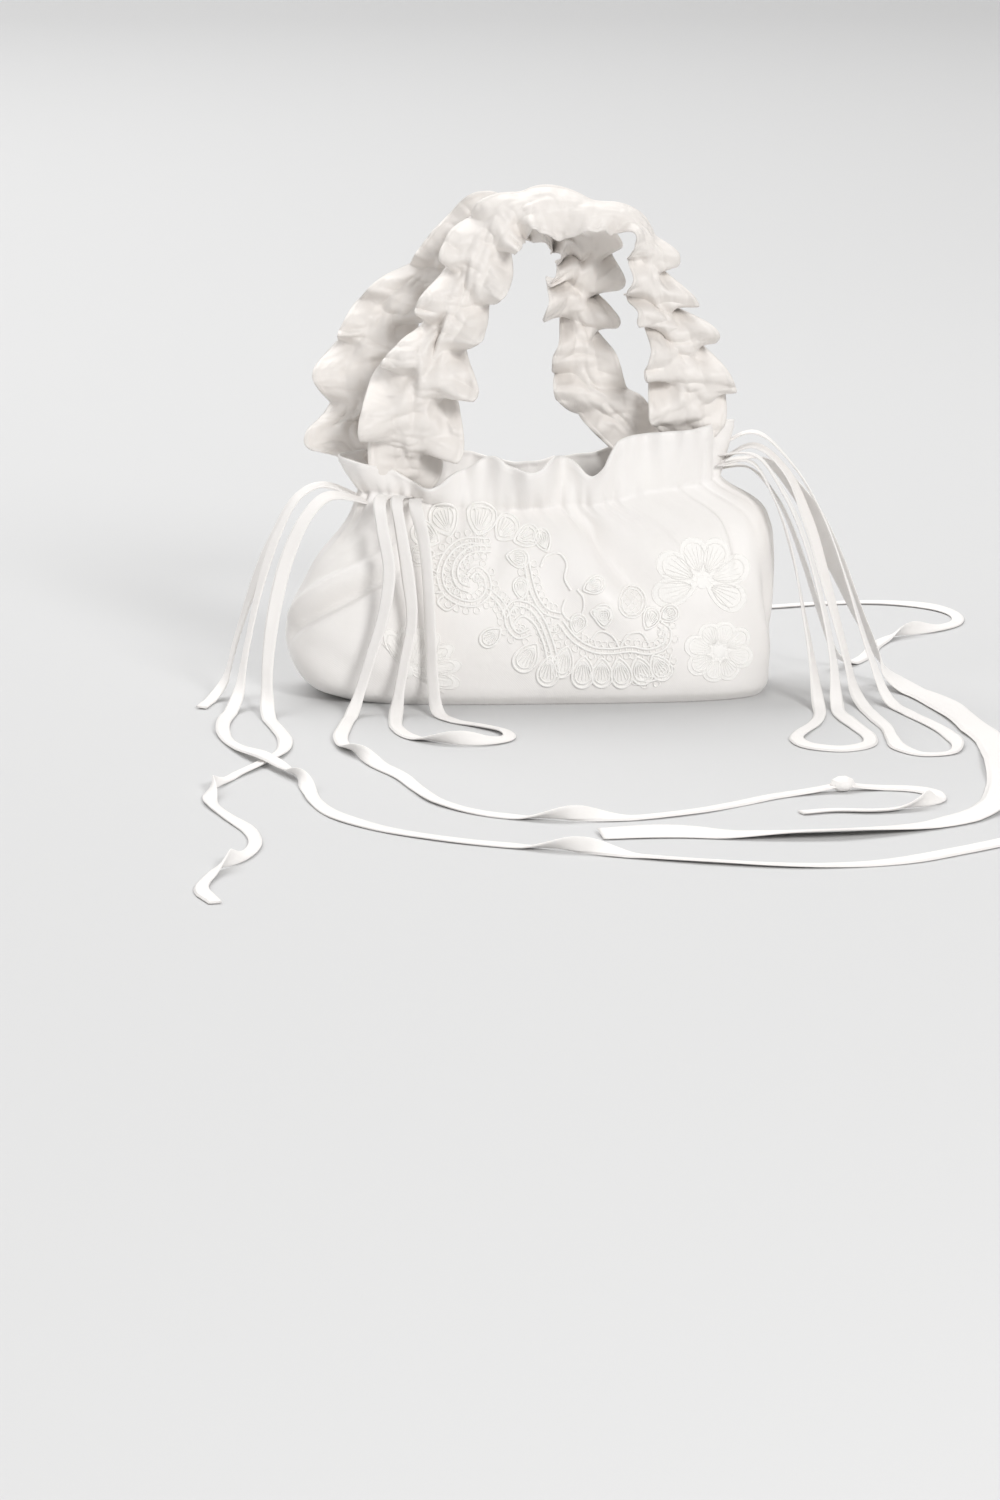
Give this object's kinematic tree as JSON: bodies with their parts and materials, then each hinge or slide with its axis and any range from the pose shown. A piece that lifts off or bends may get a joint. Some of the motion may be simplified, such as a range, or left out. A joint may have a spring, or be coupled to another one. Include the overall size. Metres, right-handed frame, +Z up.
{
  "type": "gathered satin drawstring handbag",
  "caption": "Small soft handbag with a drawn-in frilled mouth, two ruched frilled handles, pierced lace on its front and long flat ties laid on the surface.",
  "frame": {"origin": "centre of the pouch's flat base, on the surface that it stands on", "axes": "+X to the bag's right as seen from its front, -Y towards the lace front, +Z up through the handles"},
  "size_m": [0.4576, 0.7974, 0.2791],
  "materials": {
    "satin": "ivory polyester satin with a soft sheen",
    "lace": "matt ivory corded cotton lace",
    "tape": "matt ivory folded cloth tape"
  },
  "bodies": {
    "root": {"pouch": "satin", "handle_front": "satin", "handle_back": "satin", "lace_scroll": "lace", "lace_leaf": "lace", "lace_flower": "lace", "lace_petals": "lace", "tie_left_outer": "tape", "tie_left_inner": "tape", "tie_left_short": "tape", "tie_front_outer": "tape", "tie_front_end": "tape", "tie_front_loop": "tape", "tie_right_inner_loop": "tape", "tie_right_outer_loop": "tape", "tie_right_sash": "tape", "tie_right_tail": "tape", "tie_knot": "tape"}
  },
  "joints": []
}
